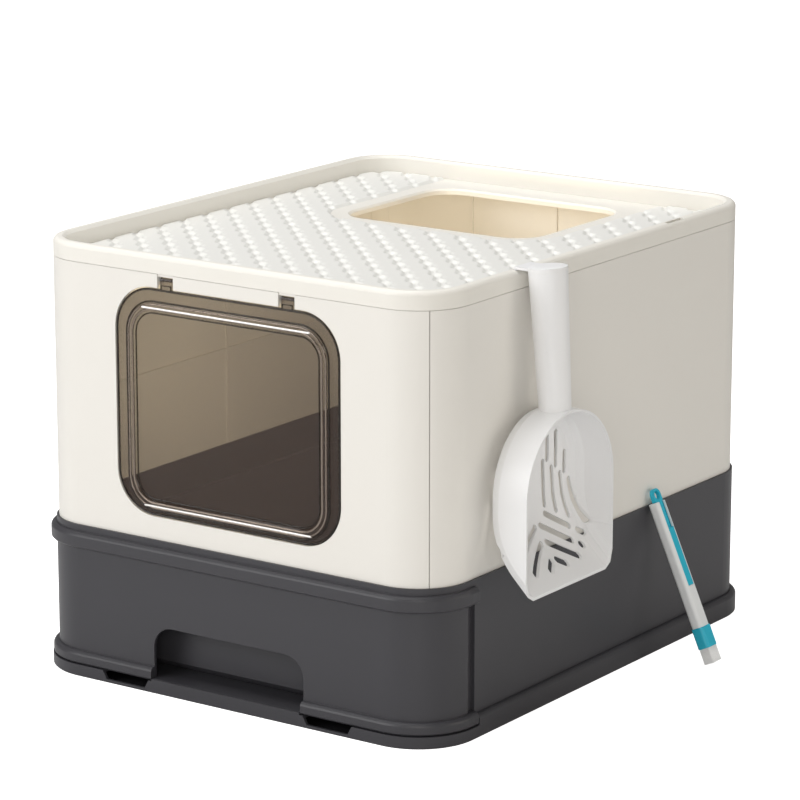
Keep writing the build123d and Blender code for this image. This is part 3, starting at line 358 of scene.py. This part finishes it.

# a near-black line round the flap's edge: painted shadow of the clearance gap
flap_bead("flap_edge_shade_line", flap_ring(), FLAP_FRONT, EDGE_RADIUS, smoke_painted_shade)
for name, grow, proud, radius, look in PANEL_BEADS:
    flap_bead(name, panel_ring(grow), FLAP_FRONT - proud, radius, look)
# painted highlights: near-white runs along the top and the foot of the bead, where its bright lines are
painted_glints = (("flap_painted_glint_top", PANEL_HIGH + GLINT_TOP_GROW), ("flap_painted_glint_foot", PANEL_LOW - GLINT_FOOT_GROW))
for name, z in painted_glints:
    run = [(-GLINT_HALF, z), (GLINT_HALF, z)]
    flap_bead(name, run, FLAP_FRONT - GLINT_PROUD, GLINT_RADIUS, painted_glint, closed=False)
# near-black lines round the hinge tabs: painted shade of the notches they sit in
for side, place in zip(("left", "right"), TAB_PLACES):
    outer, inner = place - TAB_HALF, place + TAB_HALF
    outline = [(outer, FLAP_HIGH), (outer, TAB_CREST), (inner, TAB_CREST), (inner, FLAP_HIGH)]
    flap_bead("flap_tab_shade_line_" + side, outline, FLAP_FRONT + TAB_SUNK, TAB_RADIUS, smoke_painted_shade, closed=False)


# ---------------------------------------------------------------- floor, light, camera
FLOOR_SIZE = 14.0
FLOOR_COLOR = (0.80, 0.80, 0.80, 1)
# painted shadow: the floor colour under the object's footprint
SHADE_COLOR = (0.02, 0.02, 0.022, 1)
SHADE_X, SHADE_Y, SHADE_SOFT = 0.160, 0.252, 0.006


def stage_plane(name, size):
    """A flat square of stage floor."""
    mesh = bpy.data.meshes.new(name)
    half = size / 2
    corners = [(-half, -half, 0), (half, -half, 0), (half, half, 0), (-half, half, 0)]
    mesh.from_pydata(corners, [], [(0, 1, 2, 3)])
    plane = bpy.data.objects.new(name, mesh)
    scene.collection.objects.link(plane)
    return plane


def background_rays(tree):
    """1 on rays that should see the white studio: camera and transmission rays."""
    path = tree.nodes.new("ShaderNodeLightPath")
    both = tree.nodes.new("ShaderNodeMath")
    both.operation = "MAXIMUM"
    tree.links.new(path.outputs["Is Camera Ray"], both.inputs[0])
    tree.links.new(path.outputs["Is Transmission Ray"], both.inputs[1])
    return both.outputs[0]


def outside_footprint(tree, half_x, half_y, soft):
    """0 on the floor under the object, 1 round it: the mask of the painted shadow under the object."""
    coords = tree.nodes.new("ShaderNodeTexCoord")
    parts = tree.nodes.new("ShaderNodeSeparateXYZ")
    tree.links.new(coords.outputs["Object"], parts.inputs[0])
    ramps = []
    for axis, half in (("X", half_x), ("Y", half_y)):
        size = tree.nodes.new("ShaderNodeMath")
        size.operation = "ABSOLUTE"
        tree.links.new(parts.outputs[axis], size.inputs[0])
        ramp = tree.nodes.new("ShaderNodeMapRange")
        ramp.inputs["From Min"].default_value = half
        ramp.inputs["From Max"].default_value = half + soft
        tree.links.new(size.outputs[0], ramp.inputs["Value"])
        ramps.append(ramp.outputs["Result"])
    outside = tree.nodes.new("ShaderNodeMath")
    outside.operation = "MAXIMUM"
    tree.links.new(ramps[0], outside.inputs[0])
    tree.links.new(ramps[1], outside.inputs[1])
    return outside.outputs[0]


# The floor is painted near-black under the object, a painted shadow that also darkens the floor seen through
# the notches low on the base; round it, camera and transmission rays see the floor lifted to white.
floor = stage_plane("studio_floor", FLOOR_SIZE)
mat, tree, shader, out = fresh("studio_floor")
shade = tree.nodes.new("ShaderNodeMix")
shade.data_type = "RGBA"
shade.inputs["A"].default_value = SHADE_COLOR
shade.inputs["B"].default_value = FLOOR_COLOR
open_floor = outside_footprint(tree, SHADE_X, SHADE_Y, SHADE_SOFT)
tree.links.new(open_floor, shade.inputs["Factor"])
tree.links.new(shade.outputs["Result"], shader.inputs["Base Color"])
shader.inputs["Roughness"].default_value = 0.9
shader.inputs["Specular IOR Level"].default_value = 0.0
glow = tree.nodes.new("ShaderNodeEmission")
glow.inputs["Color"].default_value = (1, 1, 1, 1)
lift = tree.nodes.new("ShaderNodeMath")
lift.operation = "MULTIPLY"
tree.links.new(background_rays(tree), lift.inputs[0])
tree.links.new(open_floor, lift.inputs[1])
tree.links.new(lift.outputs[0], glow.inputs["Strength"])
both = tree.nodes.new("ShaderNodeAddShader")
tree.links.new(shader.outputs[0], both.inputs[0])
tree.links.new(glow.outputs[0], both.inputs[1])
tree.links.new(both.outputs[0], out.inputs[0])
floor.data.materials.append(mat)

LIT_COLOR = (1.0, 0.98, 0.95, 1)
LIT_STRENGTH = 0.22
world = bpy.data.worlds.new("studio")
scene.world = world
world.use_nodes = True
tree = world.node_tree
tree.nodes.clear()
out = tree.nodes.new("ShaderNodeOutputWorld")
seen = tree.nodes.new("ShaderNodeBackground")
seen.inputs["Color"].default_value = (1, 1, 1, 1)
seen.inputs["Strength"].default_value = 1.0
lit = tree.nodes.new("ShaderNodeBackground")
lit.inputs["Color"].default_value = LIT_COLOR
lit.inputs["Strength"].default_value = LIT_STRENGTH
mix = tree.nodes.new("ShaderNodeMixShader")
tree.links.new(background_rays(tree), mix.inputs[0])
tree.links.new(lit.outputs[0], mix.inputs[1])
tree.links.new(seen.outputs[0], mix.inputs[2])
tree.links.new(mix.outputs[0], out.inputs[0])


def softbox(name, place, aim, wide, high, watts, color=(1, 1, 1)):
    """A soft rectangular lamp that the camera does not see."""
    lamp = bpy.data.lights.new(name, "AREA")
    lamp.shape = "RECTANGLE"
    lamp.size = wide
    lamp.size_y = high
    lamp.energy = watts
    lamp.color = color
    holder = bpy.data.objects.new(name, lamp)
    scene.collection.objects.link(holder)
    holder.location = place
    holder.rotation_euler = (Vector(aim) - Vector(place)).to_track_quat("-Z", "Y").to_euler()
    holder.visible_camera = False


softbox("top_box", (-0.5, 0.0, 2.6), (0, 0, 0.3), 2.4, 2.4, 50)
softbox("front_box", (-1.3, -2.6, 1.3), (0, 0, 0.2), 2.0, 1.6, 37.5)
softbox("front_right_box", (1.7, -2.5, 0.9), (0, 0, 0.2), 1.4, 1.4, 18.5, (1.0, 0.965, 0.91))
softbox("right_box", (2.8, 0.7, 0.7), (0, 0, 0.15), 1.6, 1.6, 13, (1.0, 0.94, 0.84))

# stands in for the light that comes in through the thin cream walls
softbox("inside_glow", (0.06, -0.14, 0.23), (-0.07, 0.24, 0.275), 0.28, 0.13, 0.80, (1.0, 0.84, 0.60))

EYE = Vector((1.8154, -2.6078, 1.0028))
AIM = Vector((-0.002367, 0.0, 0.21290))
SENSOR = 36.0
FOCAL = 168.43
cam_data = bpy.data.cameras.new("camera")
cam_data.sensor_width = SENSOR
cam_data.lens = FOCAL
cam_data.clip_end = 30.0
camera = bpy.data.objects.new("camera", cam_data)
scene.collection.objects.link(camera)
camera.location = EYE
camera.rotation_euler = (AIM - EYE).to_track_quat("-Z", "Y").to_euler()
scene.camera = camera
